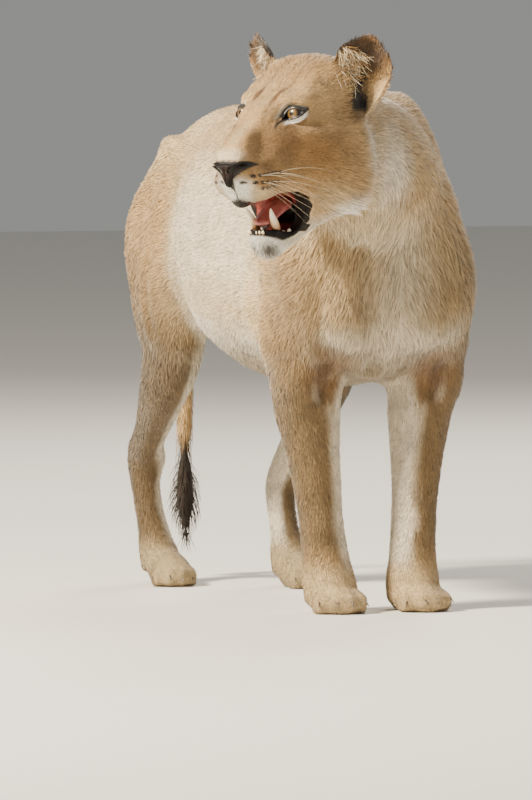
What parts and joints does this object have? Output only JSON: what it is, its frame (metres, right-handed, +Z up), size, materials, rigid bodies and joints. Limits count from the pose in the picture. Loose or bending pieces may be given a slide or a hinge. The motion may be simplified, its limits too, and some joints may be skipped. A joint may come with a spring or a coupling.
{
  "type": "lioness",
  "caption": "Standing lioness, life-size still model: heavy tan body on straight forelegs, head turned to her right with the mouth open, tail hanging with a dark tuft",
  "frame": {"origin": "on the floor under the centre of the whole model's box", "axes": "+X to her left, +Y towards her tail, +Z up; her chest faces -Y and her head is turned to her right, towards -X"},
  "size_m": [0.5844, 1.2798, 0.972],
  "materials": {
    "coat": "short sandy fur over skin, paler on the chest, belly and inner legs",
    "dark_tuft": "long dark brown hair",
    "eye": "wet amber iris under a clear cornea",
    "nose": "moist pebbled black-brown nose leather",
    "tongue": "wet pink tongue and mouth lining",
    "tooth": "polished ivory enamel, browner at the root"
  },
  "bodies": {
    "root": {"head": "coat", "neck": "coat", "chest": "coat", "belly": "coat", "rump": "coat", "jaw": "coat", "ear_left": "coat", "ear_right": "coat", "tail_root": "coat", "tail_upper": "coat", "tail_lower": "coat", "foreleg_upper_left": "coat", "foreleg_lower_left": "coat", "forepaw_left": "coat", "foreleg_upper_right": "coat", "foreleg_lower_right": "coat", "forepaw_right": "coat", "thigh_left": "coat", "shank_left": "coat", "hindpaw_left": "coat", "thigh_right": "coat", "shank_right": "coat", "hindpaw_right": "coat", "tail_tuft": "dark_tuft", "eye_left": "eye", "eye_right": "eye", "nose_leather": "nose", "tongue": "tongue", "canine_lower_left": "tooth", "canine_lower_right": "tooth"}
  },
  "joints": []
}
